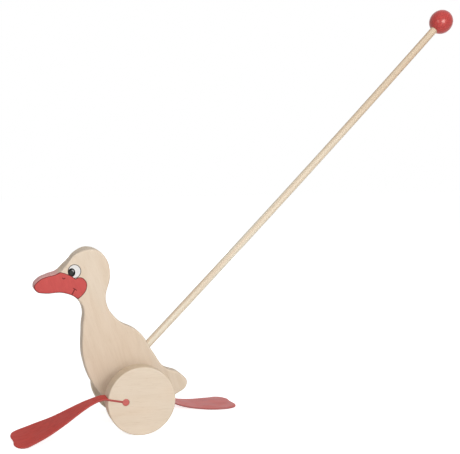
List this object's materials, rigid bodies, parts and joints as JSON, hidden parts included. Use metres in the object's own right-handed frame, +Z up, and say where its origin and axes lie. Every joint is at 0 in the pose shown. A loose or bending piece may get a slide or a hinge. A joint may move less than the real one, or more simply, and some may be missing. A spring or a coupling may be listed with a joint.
{
  "type": "duck push toy",
  "caption": "Flat wooden duck on a wheeled axle, pushed by a slanted stick with a ball grip; webbed rubber feet held in the slotted wheels slap the floor as it rolls.",
  "frame": {"origin": "on the floor, at the middle of the toy's length and width", "axes": "+X towards the knob, so the duck looks along -X; +Y to the duck's right; +Z up"},
  "size_m": [0.6178, 0.148, 0.5453],
  "materials": {
    "body_wood": "pale hardwood board, sanded, clear matt varnish",
    "wheel_wood": "pale hardwood disc, sanded, clear matt varnish",
    "dowel_wood": "pale hardwood dowel, clear matt varnish",
    "red_paint": "turned wood under glossy red paint",
    "red_rubber": "soft red rubber sheet, satin"
  },
  "bodies": {
    "duck": {"body": "body_wood", "stick": "dowel_wood", "knob": "red_paint"},
    "wheelset": {"axle": "dowel_wood", "left_spacer": "dowel_wood", "right_spacer": "dowel_wood", "left_wheel": "wheel_wood", "right_wheel": "wheel_wood", "left_foot": "red_rubber", "right_foot": "red_rubber"}
  },
  "joints": [
    {"name": "axle_spin", "type": "hinge", "parent": "duck", "child": "wheelset", "pos_m": [-0.15344, 0, 0.0425], "axis": [0, 1, 0], "continuous": true}
  ]
}
